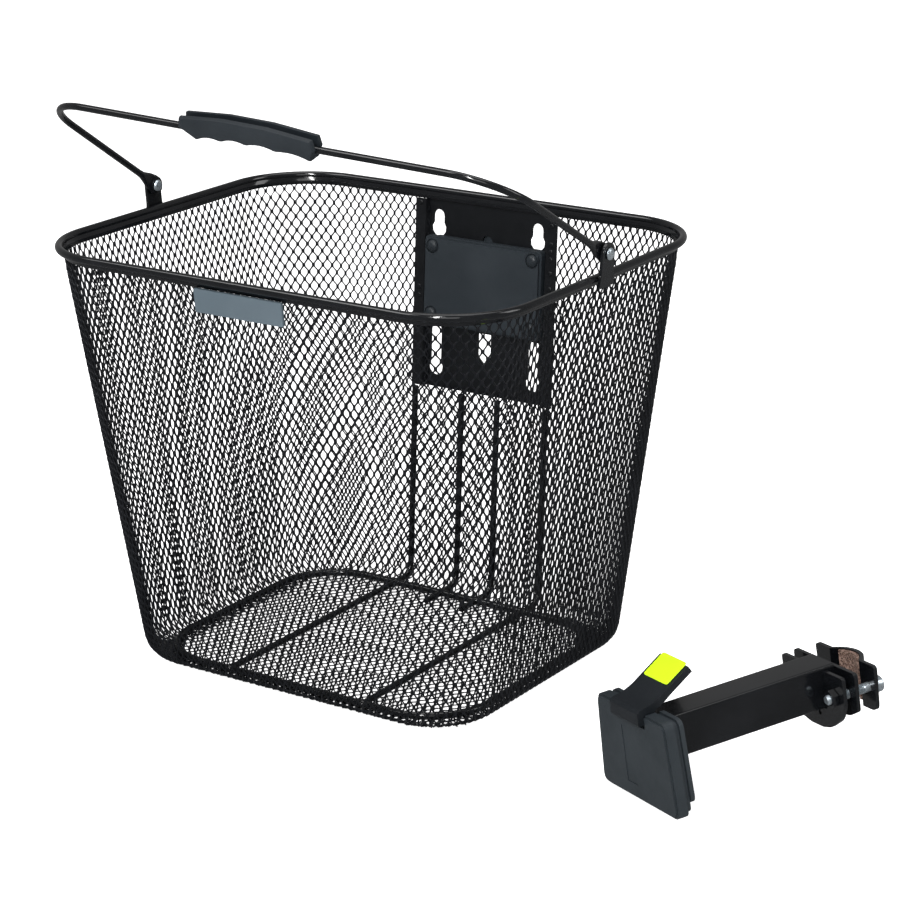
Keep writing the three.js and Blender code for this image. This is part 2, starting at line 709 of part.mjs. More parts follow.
const gripUp = new THREE.Vector3(0, -Math.sin(rad(GRIP.tip)), Math.cos(rad(GRIP.tip)));
const gripBack = new THREE.Vector3().crossVectors(gripUp, barAlong).normalize();
const gripTop = new THREE.Vector3().crossVectors(barAlong, gripBack);
const gripGroup = new THREE.Group();
gripGroup.quaternion.setFromRotationMatrix(new THREE.Matrix4().makeBasis(barAlong, gripBack, gripTop));
gripGroup.position.copy(barLeft).add(barRight).multiplyScalar(0.5);
basket.add(gripGroup);
node(gripGroup, "grip", grip(), darkPlastic);

// ---------------------------------------------------------------- stem bracket
const bracket = new THREE.Group();
bracket.position.set(...BRACKET.at);
bracket.rotation.set(rad(BRACKET.pitch), rad(BRACKET.roll), rad(BRACKET.yaw), "ZXY");
root.add(bracket);

// Outline of the holder or a guide: a rounded trapezoid with a notch for the lever.
function holderOutline(inset, low) {
  const { top, halfTop, halfLow, corner } = HOLDER;
  const { recessHalf, recessLow } = LEVER;
  const high = top - inset;
  const wide = halfLow - inset - ((low - HOLDER.low) * (halfLow - halfTop)) / (top - HOLDER.low);
  return roundedPolygon([
    [-wide, low, corner],
    [wide, low, corner],
    [halfTop - inset, high, corner],
    [recessHalf, high, 1],
    [recessHalf, recessLow, 0.6],
    [-recessHalf, recessLow, 0.6],
    [-recessHalf, high, 1],
    [-halfTop + inset, high, corner],
  ]);
}

function holder() {
  const { front, back, low } = HOLDER;
  const face = 1.2;
  const body = join(
    slabXZ(holderOutline(0, low), front + face, back),
    slabXZ(holderOutline(face, low + face), front, front + face + OVERLAP),
  );
  // A shallow panel, left blank, and the holes of the lever's pin.
  const p = HOLDER_PANEL;
  const panelCut = box([p.left, front - 1, p.low], [p.right, front + p.deep, p.high]);
  const pinHole = rodX(LEVER.pin + GAP, -22, 22, LEVER.pinY, LEVER.pinZ, 14);
  return cut(body, panelCut, pinHole);
}
node(bracket, "holder_body", holder(), greyPlastic);

const screwPlaces = [-1, 1].map((side) => [side * SCREW.x, SCREW.z]);
for (const { name, front, back, inset, low } of FLANGES) {
  const holes = screwPlaces.map(([x, z]) => rodY(SCREW.hole, front - 1, back + 1, x, z, 12));
  node(bracket, name, cut(slabXZ(holderOutline(inset, low), front, back), ...holes), darkPlastic);
}

// Rear screws that clamp the guides to the holder.
screwPlaces.forEach(([x, z], i) => {
  const { shank, head, high } = SCREW;
  const tip = HOLDER.back + GAP;
  const seat = FLANGES[1].back + GAP;
  const profile = [
    [0, tip],
    [shank, tip],
    [shank, seat],
    [head, seat],
    [head * 0.85, seat + high * 0.75],
    [head * 0.35, seat + high],
    [0, seat + high],
  ];
  const screw = turned(profile, 16).translate(x, 0, z);
  node(bracket, `holder_screw_${["left", "right"][i]}`, screw, zinc);
});

// Release lever: a front button, a dished top and a tongue that rises over the arm.
const TONGUE_RISE = Math.atan2(9.1, 15);
const TONGUE_SLOPE = Math.tan(TONGUE_RISE);
const lever = new THREE.Group();
bracket.add(lever);
const lowAt = (y) => TONGUE.tipZ + (y - TONGUE.tipY) * TONGUE_SLOPE;
const topAt = (y) => lowAt(y) + TONGUE.thick / Math.cos(TONGUE_RISE);
function leverBody() {
  const { front, heel, under, button, tipY, tipZ, thick } = TONGUE;
  const hollowStart = 3.5; // where the dished top and underside turn into straight slopes
  const profile = new THREE.Shape();
  profile.moveTo(front + 0.5, under);
  profile.lineTo(heel, under);
  profile.lineTo(heel, button - 0.4);
  profile.quadraticCurveTo(hollowStart - 5, lowAt(hollowStart) - 4, hollowStart, lowAt(hollowStart));
  profile.lineTo(tipY, tipZ);
  profile.lineTo(tipY - thick * Math.sin(TONGUE_RISE), tipZ + thick * Math.cos(TONGUE_RISE));
  profile.lineTo(hollowStart, topAt(hollowStart));
  profile.quadraticCurveTo(-6, button + 4.2, -14, button + 3);
  profile.quadraticCurveTo(front + 0.1, button + 2.6, front, button);
  profile.lineTo(front, under + 0.5);
  const body = slabYZ(profile, -LEVER.half, LEVER.half);
  const pinHole = rodX(LEVER.pin + GAP, -LEVER.half - 1, LEVER.half + 1, LEVER.pinY, LEVER.pinZ, 14);
  const room = SPRING.coil + SPRING.wire + GAP;
  const springRoom = box(
    [-SPRING.half - 1.4, LEVER.pinY - room, 0],
    [SPRING.half + 1.4, LEVER.pinY + room, LEVER.pinZ + room],
  );
  return cut(body, pinHole, springRoom);
}
node(lever, "lever", leverBody(), darkPlastic);

function leverPad() {
  const { halfX, halfY, corner, thick, y } = PAD;
  const shape = roundedPolygon([
    [-halfX, -halfY, corner],
    [halfX, -halfY, corner],
    [halfX, halfY, corner],
    [-halfX, halfY, corner],
  ]);
  const g = new THREE.ExtrudeGeometry(shape, { depth: thick, bevelEnabled: false, curveSegments: 4 });
  return g.rotateX(TONGUE_RISE).translate(0, y, topAt(y) + GAP);
}
node(lever, "lever_pad", leverPad(), lime);
const leverPin = rodX(LEVER.pin, -LEVER.pinHalf, LEVER.pinHalf, LEVER.pinY, LEVER.pinZ, 14);
node(bracket, "lever_pin", leverPin, zinc);

function leverSpring() {
  const { turns, half, coil, wire: radius } = SPRING;
  const at = (t) => {
    const a = t * turns * Math.PI * 2;
    const x = lerp(-half, half, t);
    return new THREE.Vector3(x, LEVER.pinY + coil * Math.sin(a), LEVER.pinZ + coil * Math.cos(a));
  };
  return wire(new PathThrough(at), radius, 36, 6);
}
node(bracket, "lever_spring", leverSpring(), zinc);

// Square arm, open at both ends.
function squareTube() {
  const { halfX, halfZ, wall, length } = ARM;
  const ring = (inset, r) =>
    roundedPolygon([
      [-halfX + inset, -halfZ + inset, r],
      [halfX - inset, -halfZ + inset, r],
      [halfX - inset, halfZ - inset, r],
      [-halfX + inset, halfZ - inset, r],
    ]);
  const shape = ring(0, 2);
  shape.holes.push(ring(wall, 0.8));
  return slabXZ(shape, FLANGES[1].back + GAP, length);
}
node(bracket, "arm_tube", squareTube(), paint);

const boltPlaces = [-1, 1].map((side) => [side * BOLT.x, BOLT.z]);
const boltHoles = (from, to) => boltPlaces.map(([x, z]) => rodY(BOLT.hole, from - 1, to + 1, x, z, 16));

// Flange welded round the arm's end: two wings and an apron below.
function clampFlange() {
  const front = CLAMP.flange;
  const back = front + CLAMP.sheet;
  const w = CLAMP.half;
  const right = [
    [6, APRON.low, 2],
    [15, APRON.low + 2, 3],
    [27, APRON.low + 10, 4],
    [w, -7, 3],
    [w, CLAMP.high - 0.6, 2.5],
  ];
  const left = right.map(([x, z, r]) => [-x, z, r]).reverse();
  const plate = slabXZ(roundedPolygon([...right, ...left]), front, back);
  const x = ARM.halfX + GAP;
  const armRoom = box([-x, front - 1, -ARM.halfZ - GAP], [x, back + 1, ARM.halfZ + 5]);
  const drain = rodY(APRON.drain, front - 1, back + 1, APRON.drainX, APRON.drainZ, 12);
  return cut(plate, armRoom, drain, ...boltHoles(front, back));
}
node(bracket, "clamp_flange", clampFlange(), paint);

// Outline of a clamp strip, seen along the bolts.
const stripShape = roundedPolygon([
  [-CLAMP.half, CLAMP.low + 5, 2],
  [-CLAMP.half + 9, CLAMP.low, 3],
  [CLAMP.half - 9, CLAMP.low, 3],
  [CLAMP.half, CLAMP.low + 5, 2],
  [CLAMP.half, CLAMP.high, 2.5],
  [-CLAMP.half, CLAMP.high, 2.5],
]);
function clampInner() {
  const front = CLAMP.inner;
  const back = front + CLAMP.sheet;
  return cut(slabXZ(stripShape, front, back), ...boltHoles(front, back));
}
node(bracket, "clamp_inner", clampInner(), paint);

// Outer strip with an arched saddle for the stem, and the lining glued into it.
function saddleArc(inset) {
  const sag = SADDLE.apex - CLAMP.outer - CLAMP.sheet;
  const radius = (SADDLE.half ** 2 + sag ** 2) / (2 * sag);
  const centre = SADDLE.apex - radius;
  const half = Math.asin(SADDLE.half / radius);
  const steps = 8;
  const points = [];
  for (let i = 0; i <= steps; i++) {
    const a = lerp(-half, half, i / steps);
    points.push([(radius - inset) * Math.sin(a), centre + (radius - inset) * Math.cos(a)]);
  }
  return points;
}

function clampOuter() {
  const front = CLAMP.outer;
  const back = front + CLAMP.sheet;
  const outer = saddleArc(0);
  const inner = saddleArc(CLAMP.sheet);
  const section = polygon([
    [-SADDLE.half - OVERLAP, front],
    [-SADDLE.half + 0.5, front],
    ...inner.slice(1, -1),
    [SADDLE.half - 0.5, front],
    [SADDLE.half + OVERLAP, front],
    [SADDLE.half + OVERLAP, back],
    ...outer.reverse(),
    [-SADDLE.half - OVERLAP, back],
  ]);
  const arch = new THREE.ExtrudeGeometry(section, { depth: CLAMP.high - CLAMP.low, bevelEnabled: false });
  arch.translate(0, 0, CLAMP.low);
  const wing = (side) => {
    const root = side * SADDLE.half;
    const tip = side * CLAMP.outerHalf;
    const corners = [
      [root, CLAMP.low, 0],
      [tip - 1.5 * side, CLAMP.low, 4.5],
      [tip, CLAMP.high, 3],
      [root, CLAMP.high, 0],
    ];
    return slabXZ(roundedPolygon(side > 0 ? corners : corners.reverse()), front, back);
  };
  return cut(join(arch, wing(-1), wing(1)), ...boltHoles(front, back));
}

function clampLining() {
  const outside = saddleArc(CLAMP.sheet + GAP).slice(1, -1);
  const inside = saddleArc(CLAMP.sheet + GAP + SADDLE.liner).slice(1, -1);
  const section = polygon([...inside, ...outside.reverse()]);
  const height = CLAMP.high - CLAMP.low - 2;
  const g = new THREE.ExtrudeGeometry(section, { depth: height, bevelEnabled: false });
  return g.translate(0, 0, CLAMP.low + 1.5);
}
node(bracket, "clamp_outer", clampOuter(), paint);
node(bracket, "clamp_lining", clampLining(), cork);

boltPlaces.forEach(([x, z], i) => {
  const side = ["left", "right"][i];
  const seat = CLAMP.outer + CLAMP.sheet + GAP;
  const profile = [[0, BOLT.end], [BOLT.shank - 0.6, BOLT.end], [BOLT.shank, BOLT.end + 0.8]];
  const top = seat + BOLT.headHigh;
  profile.push([BOLT.shank, seat], [BOLT.head, seat], [BOLT.head, top - 0.8]);
  profile.push([BOLT.head - 0.8, top], [0, top]);
  const keyHole = rodY(BOLT.key, top - BOLT.headHigh / 2, top + 1, x, z, 6);
  node(bracket, `clamp_bolt_${side}`, cut(turned(profile, 18).translate(x, 0, z), keyHole), zinc);
  const nutBack = CLAMP.flange - GAP;
  const hexagon = rodY(NUT.half + 0.8, nutBack - NUT.high, nutBack, x, z, 6);
  const nut = cut(hexagon, rodY(BOLT.hole, nutBack - 10, nutBack + 1, x, z, 16));
  node(bracket, `clamp_nut_${side}`, nut, paint);
});

export default root;
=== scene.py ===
import json
import math

import bmesh
import bpy
import numpy as np
from mathutils import Matrix, Vector

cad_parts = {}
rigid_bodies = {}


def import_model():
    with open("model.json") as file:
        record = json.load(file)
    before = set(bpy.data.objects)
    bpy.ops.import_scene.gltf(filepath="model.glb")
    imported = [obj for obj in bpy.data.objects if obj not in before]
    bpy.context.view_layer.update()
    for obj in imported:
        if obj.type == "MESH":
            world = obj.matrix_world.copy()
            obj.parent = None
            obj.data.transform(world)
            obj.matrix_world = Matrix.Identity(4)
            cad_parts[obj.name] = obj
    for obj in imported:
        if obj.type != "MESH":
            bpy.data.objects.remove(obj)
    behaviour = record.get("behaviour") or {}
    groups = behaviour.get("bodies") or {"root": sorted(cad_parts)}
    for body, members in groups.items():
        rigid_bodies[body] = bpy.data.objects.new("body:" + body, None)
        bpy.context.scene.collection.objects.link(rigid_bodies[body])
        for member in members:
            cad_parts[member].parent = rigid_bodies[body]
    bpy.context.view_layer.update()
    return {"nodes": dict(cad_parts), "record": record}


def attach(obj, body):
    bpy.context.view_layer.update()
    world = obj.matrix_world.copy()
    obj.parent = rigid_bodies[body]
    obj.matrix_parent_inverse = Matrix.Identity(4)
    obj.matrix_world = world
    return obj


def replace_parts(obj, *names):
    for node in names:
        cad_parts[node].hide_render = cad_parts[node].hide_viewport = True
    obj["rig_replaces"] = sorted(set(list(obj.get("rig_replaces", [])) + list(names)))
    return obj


# Handlebar basket of expanded metal, with its stem bracket. Geometry is worked out in millimetres
# in the CAD frame and scaled to metres as each piece is made. +X is the basket's width, +Z is up.
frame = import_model()

MM = 0.001
TAU = 2 * math.pi
rad = math.radians

# ------------------------------------------------------------------ dimensions
# These are the CAD's, but the hem is drawn a little larger and the bail's wire a little thicker.
HEIGHT = 276  # height of the rim wire's centre
WALL_BASE = {"half_x": 132, "front": -106.5, "back": 114, "corner": 44}
WALL_TOP = {"half_x": 168.2, "front": -133.2, "back": 133.2, "corner": 50.6}
HEEL = 12  # radius where the wall turns into the floor
RIM = {"half_x": 171, "half_y": 136, "mid_y": 0, "corner": 54}
RIM_WIRE = 2.6
HEM_LOW, HEM_HIGH, HEM_THICK = 270.3, 273.4, 1.8
HEM_FOLD = 1.8  # how far its fold rises beside the rim wire
RING = {"half_x": 119, "half_y": 93, "mid_y": 0, "corner": 43.5}
RING_Z, RING_WIRE = 3.9, 2.4
STAY_WIRE, STAY_OUTER, STAY_INNER = 2.1, 53, 14.5
STAY_TOP, STAY_INSET, STAY_STUB = 140, 3, 16
PIVOT_Y, PIVOT_Z = -3, 291
BAIL = {"x": 173.3, "reach": 131.15, "half": 176.2, "corner": 36.9, "wire": 2.25}
BAIL_LEAN, BAIL_TWIST = 57.57, 2.71  # degrees towards the front, and how far that differs at its sides

BACK_SLOPE = math.atan2(WALL_TOP["back"] - WALL_BASE["back"], HEIGHT)
BACK_WALL = Matrix.Translation((0, WALL_BASE["back"], 0)) @ Matrix.Rotation(-BACK_SLOPE, 4, "X")
BRACKET = (  # where the loose stem bracket lies
    Matrix.Translation((273.9, -107.3, 41.3))
    @ Matrix.Rotation(rad(-28.03), 4, "Z")
    @ Matrix.Rotation(rad(5.28), 4, "X")
    @ Matrix.Rotation(rad(-5.25), 4, "Y")
)
HERE = Matrix.Identity(4)


# ------------------------------------------------------------------ camera, light and floor
def place_camera():
    stand = (1.0305, -1.4146, 0.7109)
    azimuth, elevation, roll = rad(34.50), rad(18.21), rad(-0.72)
    level = math.cos(elevation)
    back = Vector((math.sin(azimuth) * level, -math.cos(azimuth) * level, math.sin(elevation)))
    right = Vector((math.cos(azimuth), math.sin(azimuth), 0))
    up = back.cross(right)
    rolled_right = right * math.cos(roll) + up * math.sin(roll)
    rolled_up = up * math.cos(roll) - right * math.sin(roll)
    data = bpy.data.cameras.new("camera")
    data.sensor_width = 36
    data.lens = 113.84
    data.clip_start = 0.05
    data.clip_end = 30
    camera = bpy.data.objects.new("camera", data)
    bpy.context.scene.collection.objects.link(camera)
    columns = Matrix((rolled_right, rolled_up, back)).transposed().to_4x4()
    camera.matrix_world = Matrix.Translation(stand) @ columns
    bpy.context.scene.camera = camera


def area_light(name, at, target, size, watts):
    data = bpy.data.lights.new(name, "AREA")
    data.shape = "RECTANGLE"
    data.size, data.size_y = size
    data.energy = watts
    light = bpy.data.objects.new(name, data)
    bpy.context.scene.collection.objects.link(light)
    light.location = at
    light.rotation_euler = (Vector(target) - Vector(at)).to_track_quat("-Z", "Y").to_euler()


def plain_floor():
    """Wide white floor just under the basket, which the glossy pieces don't reflect."""
    bpy.ops.mesh.primitive_plane_add(size=40, location=(0, 0, -0.0015))
    floor = bpy.context.object
    floor.name = "studio_floor"
    material = bpy.data.materials.new("studio_floor")
    material.use_nodes = True
    shader = material.node_tree.nodes["Principled BSDF"]
    shader.inputs["Base Color"].default_value = (0.93, 0.93, 0.935, 1)
    shader.inputs["Roughness"].default_value = 0.9
    shader.inputs["Specular IOR Level"].default_value = 0.1
    shader.inputs["Emission Color"].default_value = (1, 1, 1, 1)
    shader.inputs["Emission Strength"].default_value = 0.85
    floor.data.materials.append(material)
    floor.visible_glossy = False


def studio():
    """White surroundings for the camera, dimmer ones for the reflections, and large soft lights."""
    bpy.context.scene.view_settings.view_transform = "Standard"
    world = bpy.data.worlds.new("studio")
    bpy.context.scene.world = world
    world.use_nodes = True
    tree = world.node_tree
    background = tree.nodes["Background"]
    background.inputs["Color"].default_value = (1, 1, 1, 1)
    rays = tree.nodes.new("ShaderNodeLightPath")
    strength = tree.nodes.new("ShaderNodeMapRange")
    strength.inputs["To Min"].default_value = 0.22
    strength.inputs["To Max"].default_value = 1.0
    tree.links.new(rays.outputs["Is Camera Ray"], strength.inputs["Value"])
    tree.links.new(strength.outputs["Result"], background.inputs["Strength"])
    area_light("key", (-1.3, -1.3, 2.4), (0, 0, 0.15), (1.6, 1.0), 22)
    area_light("front", (1.7, -2.6, 1.5), (0.05, 0, 0.15), (1.2, 1.6), 13)
    area_light("side", (2.3, 0.9, 1.5), (0.05, 0, 0.12), (0.9, 1.4), 14)
    area_light("top", (0, 0.3, 2.6), (0, 0, 0.1), (2.2, 1.6), 20)
    area_light("strip", (0.6, -1.9, 1.7), (0, 0, 0.2), (0.2, 1.6), 48)


# ------------------------------------------------------------------ materials
def material_nodes(name):
    material = bpy.data.materials.new(name)
    material.use_nodes = True
    tree = material.node_tree
    return material, tree, tree.nodes["Principled BSDF"]


def texture_noise(tree, scale, detail, roughness=0.5):
    where = tree.nodes.new("ShaderNodeTexCoord")
    noise = tree.nodes.new("ShaderNodeTexNoise")
    noise.inputs["Scale"].default_value = scale
    noise.inputs["Detail"].default_value = detail
    noise.inputs["Roughness"].default_value = roughness
    tree.links.new(where.outputs["Object"], noise.inputs["Vector"])
    return noise


def ramp(tree, source, stops):
    node = tree.nodes.new("ShaderNodeValToRGB")
    while len(node.color_ramp.elements) < len(stops):
        node.color_ramp.elements.new(0.5)
    for element, (position, colour) in zip(node.color_ramp.elements, stops):
        element.position = position
        element.color = (*colour, 1)
    tree.links.new(source, node.inputs["Fac"])
    return node


def grey(value):
    return (value, value, value)


def add_bump(tree, shader, height, strength, distance):
    bump = tree.nodes.new("ShaderNodeBump")
    bump.inputs["Strength"].default_value = strength
    bump.inputs["Distance"].default_value = distance
    tree.links.new(height, bump.inputs["Height"])
    tree.links.new(bump.outputs["Normal"], shader.inputs["Normal"])


def coated(name, dark, light, rough, coat=0.0, specular=0.35):
    """Powder coat: slow colour drift, fine orange peel and a little dust in the roughness."""
    material, tree, shader = material_nodes(name)
    drift = texture_noise(tree, scale=38, detail=3)
    colour = ramp(tree, drift.outputs["Fac"], [(0.35, dark), (0.65, light)])
    tree.links.new(colour.outputs["Color"], shader.inputs["Base Color"])
    dust = texture_noise(tree, scale=160, detail=5, roughness=0.65)
    rough_map = ramp(tree, dust.outputs["Fac"], [(0.3, grey(rough[0])), (0.75, grey(rough[1]))])
    tree.links.new(rough_map.outputs["Color"], shader.inputs["Roughness"])
    peel = texture_noise(tree, scale=900, detail=2)
    add_bump(tree, shader, peel.outputs["Fac"], strength=0.35, distance=0.00004)
    shader.inputs["Specular IOR Level"].default_value = specular
    shader.inputs["Coat Weight"].default_value = coat
    shader.inputs["Coat Roughness"].default_value = 0.05
    return material


def moulded(name, dark, light, rough, grain=1144, deep=0.00012):
    """Moulded plastic: spark-eroded grain, faint flow marks and worn sheen."""
    material, tree, shader = material_nodes(name)
    flow = texture_noise(tree, scale=22, detail=4)
    colour = ramp(tree, flow.outputs["Fac"], [(0.3, dark), (0.7, light)])
    tree.links.new(colour.outputs["Color"], shader.inputs["Base Color"])
    wear = texture_noise(tree, scale=75, detail=5, roughness=0.6)
    rough_map = ramp(tree, wear.outputs["Fac"], [(0.3, grey(rough[0])), (0.7, grey(rough[1]))])
    tree.links.new(rough_map.outputs["Color"], shader.inputs["Roughness"])
    pits = texture_noise(tree, scale=grain, detail=3, roughness=0.7)
    add_bump(tree, shader, pits.outputs["Fac"], strength=0.5, distance=deep)
    shader.inputs["Specular IOR Level"].default_value = 0.28
    return material


def plated(name):
    """Blue-bright zinc: fine turning marks and a drift between blue and grey."""
    material, tree, shader = material_nodes(name)
    drift = texture_noise(tree, scale=190, detail=3)
    colour = ramp(tree, drift.outputs["Fac"], [(0.3, (0.42, 0.49, 0.54)), (0.7, (0.66, 0.72, 0.76))])
    tree.links.new(colour.outputs["Color"], shader.inputs["Base Color"])
    marks = texture_noise(tree, scale=1600, detail=3)
    rough_map = ramp(tree, marks.outputs["Fac"], [(0.3, grey(0.22)), (0.7, grey(0.4))])
    tree.links.new(rough_map.outputs["Color"], shader.inputs["Roughness"])
    add_bump(tree, shader, marks.outputs["Fac"], strength=0.25, distance=0.00003)
    shader.inputs["Metallic"].default_value = 0.9
    return material


def cork_rubber(name):
    """Pressed cork and rubber: dark grains in a brown binder."""
    material, tree, shader = material_nodes(name)
    where = tree.nodes.new("ShaderNodeTexCoord")
    grains = tree.nodes.new("ShaderNodeTexVoronoi")
    grains.inputs["Scale"].default_value = 900
    tree.links.new(where.outputs["Object"], grains.inputs["Vector"])
    speckle = texture_noise(tree, scale=1300, detail=4, roughness=0.7)
    mix = tree.nodes.new("ShaderNodeMath")
    mix.operation = "MULTIPLY"
    tree.links.new(grains.outputs["Distance"], mix.inputs[0])
    tree.links.new(speckle.outputs["Fac"], mix.inputs[1])
    stops = [(0.1, (0.018, 0.012, 0.010)), (0.22, (0.13, 0.075, 0.055)), (0.42, (0.30, 0.2, 0.16))]
    colour = ramp(tree, mix.outputs["Value"], stops)
    tree.links.new(colour.outputs["Color"], shader.inputs["Base Color"])
    add_bump(tree, shader, mix.outputs["Value"], strength=0.9, distance=0.0003)
    shader.inputs["Roughness"].default_value = 0.9
    return material


# Each has a dark and a light colour that it drifts between, and a range of roughness.
BLACK = coated(
    "gloss_black_coat", (0.0025, 0.0030, 0.0038), (0.0050, 0.0056, 0.0068), (0.10, 0.19), coat=0.35
)
MESH_BLACK = coated(
    "mesh_coat", (0.0038, 0.0045, 0.0060), (0.0075, 0.0085, 0.0108), (0.34, 0.50), specular=0.22
)
PLATE_BLACK = coated(
    "plate_coat", (0.0034, 0.0040, 0.0050), (0.0062, 0.0070, 0.0084), (0.34, 0.46), specular=0.28
)
COVER_GREY = moulded("cover_plastic", (0.017, 0.022, 0.027), (0.025, 0.031, 0.037), (0.42, 0.55))
RIVET_GREY = moulded("rivet_plastic", (0.014, 0.018, 0.022), (0.022, 0.027, 0.032), (0.32, 0.45))
BADGE_GREY = moulded(
    "badge_coat", (0.066, 0.090, 0.108), (0.084, 0.110, 0.130), (0.34, 0.46), grain=1760, deep=0.00004
)
GRIP_GREY = moulded("grip_plastic", (0.013, 0.017, 0.021), (0.022, 0.027, 0.032), (0.38, 0.5))
HOLDER_GREY = moulded("holder_plastic", (0.016, 0.021, 0.025), (0.023, 0.029, 0.034), (0.42, 0.55))
LEVER_BLACK = moulded("lever_plastic", (0.006, 0.008, 0.010), (0.010, 0.012, 0.015), (0.36, 0.5))
LIME = moulded(
    "lime_pad", (0.54, 0.92, 0.010), (0.60, 0.96, 0.014), (0.42, 0.52), grain=1980, deep=0.00003
)
ZINC = plated("zinc_plate")
CORK = cork_rubber("cork_lining")
SLOT_MATERIALS = {
    "frame_paint": BLACK,
    "mesh_paint": MESH_BLACK,
    "plate_paint": PLATE_BLACK,
    "cover_plastic": COVER_GREY,
    "rivet_plastic": RIVET_GREY,
    "badge_plate": BADGE_GREY,
    "zinc": ZINC,
    "grip_plastic": GRIP_GREY,
    "holder_plastic": HOLDER_GREY,
    "lever_plastic": LEVER_BLACK,
    "lime_pad": LIME,
    "bracket_paint": BLACK,
    "nut_black": BLACK,
    "cork_lining": CORK,
}
BODY_OF = {node: body for body, nodes in frame["record"]["behaviour"]["bodies"].items() for node in nodes}
SLOT_OF = {part["node"]: part["material_slot"] for part in frame["record"]["subparts"]}


# ------------------------------------------------------------------ making pieces
CLOSED_END = 0.01  # radius that stands for a closed end, so that its faces keep an area
MERGE_ANGLE, BEVEL_ANGLE = 4, 32  # faces that meet at less than this are flat, at more have an edge


def finish_piece(obj, *nodes, body=None, slot=None, sharp=40):
    """Shade, colour and attach a piece that stands for these CAD nodes, or for none."""
    body = body or BODY_OF[nodes[0]]
    slot = slot or SLOT_OF[nodes[0]]
    obj.data.materials.clear()
    obj.data.materials.append(SLOT_MATERIALS[slot])
    obj.data.polygons.foreach_set("use_smooth", [True] * len(obj.data.polygons))
    if sharp:
        obj.data.set_sharp_from_angle(angle=rad(sharp))
    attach(obj, body)
    if nodes:
        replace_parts(obj, *nodes)
    return obj


def linked(name, mesh):
    obj = bpy.data.objects.new(name, mesh)
    bpy.context.scene.collection.objects.link(obj)
    return obj


def from_points(name, points, faces, place=HERE):
    """Object from points in millimetres, moved to a place."""
    points = np.asarray(points, float).reshape(-1, 3)
    turn = np.array(place.to_3x3())
    shift = np.array(place.translation)
    mesh = bpy.data.meshes.new(name)
    mesh.from_pydata((points @ turn.T + shift) * MM, [], faces)
    mesh.update()
    return linked(name, mesh)


def baked(obj):
    """Apply the object's modifiers to its mesh."""
    graph = bpy.context.evaluated_depsgraph_get()
    mesh = bpy.data.meshes.new_from_object(obj.evaluated_get(graph))
    obj.modifiers.clear()
    obj.data = mesh
    return obj


def ring_faces(rings, sides, closed_along=False):
    """Faces of a skin over rings of points, counted ring by ring, with both ends capped if it has ends."""
    faces = []
    last = rings if closed_along else rings - 1
    for i in range(last):
        a, b = i * sides, ((i + 1) % rings) * sides
        for j in range(sides):
            k = (j + 1) % sides
            faces.append((a + j, a + k, b + k, b + j))
    if not closed_along:
        faces.append(tuple(reversed(range(sides))))
        faces.append(tuple(range((rings - 1) * sides, rings * sides)))
    return faces


def tube(name, path, radius, closed=False, sides=16):
    """Round wire along a path."""
    path = [Vector(p) for p in path]
    count = len(path)
    points = []
    normal = None
    for i, here in enumerate(path):
        before = path[i - 1] if i > 0 or closed else here
        after = path[(i + 1) % count] if i < count - 1 or closed else here
        along = (after - before).normalized()
        if normal is None:
            normal = along.orthogonal()
        normal = (normal - along * normal.dot(along)).normalized()
        side = along.cross(normal)
        for j in range(sides):
            a = TAU * j / sides
            points.append(here + radius * (math.cos(a) * normal + math.sin(a) * side))
    return from_points(name, points, ring_faces(count, sides, closed))


def lathe(name, profile, at, axis, place, sides):
    """Profile of (radius, height) turned about an axis through a point."""
    axis = Vector(axis).normalized()
    u = axis.orthogonal().normalized()
    v = axis.cross(u)
    points = []
    for r, h in profile:
        for j in range(sides):
            a = TAU * j / sides
            across = math.cos(a) * u + math.sin(a) * v
            points.append(Vector(at) + axis * h + max(r, CLOSED_END) * across)
    return from_points(name, points, ring_faces(len(profile), sides), place)


def arc_points(centre, radius, start, end, steps):
    angles = [rad(start + (end - start) * i / steps) for i in range(steps + 1)]
    return [(centre[0] + radius * math.cos(a), centre[1] + radius * math.sin(a)) for a in angles]


def smooth(t):
    """Eased step from 0 to 1."""
    t = min(max(t, 0), 1)
    return t * t * (3 - 2 * t)


def weld(mesh, distance=1e-6):
    """Join points that lie together and turn the faces outwards."""
    bm = bmesh.new()
    bm.from_mesh(mesh)
    bmesh.ops.remove_doubles(bm, verts=bm.verts, dist=distance)
    bmesh.ops.dissolve_degenerate(bm, dist=distance, edges=bm.edges)
    bmesh.ops.recalc_face_normals(bm, faces=bm.faces)
    bm.to_mesh(mesh)
    bm.free()


def refined(node, edge):
    """Copy of a CAD node with its flat faces merged and its edges rounded."""
    mesh = frame["nodes"][node].data.copy()
    bm = bmesh.new()
    bm.from_mesh(mesh)
    bmesh.ops.remove_doubles(bm, verts=bm.verts, dist=2e-6)
    bmesh.ops.dissolve_limit(bm, angle_limit=rad(MERGE_ANGLE), verts=bm.verts, edges=bm.edges)
    bmesh.ops.recalc_face_normals(bm, faces=bm.faces)
    bm.to_mesh(mesh)
    bm.free()
    obj = linked(node + ".look", mesh)
    bevel = obj.modifiers.new("edges", "BEVEL")
    bevel.width = edge * MM
    bevel.segments = 2
    bevel.limit_method = "ANGLE"
    bevel.angle_limit = rad(BEVEL_ANGLE)
    bevel.use_clamp_overlap = True
    baked(obj)
    obj.modifiers.new("normals", "WEIGHTED_NORMAL").keep_sharp = True
    return finish_piece(obj, node)


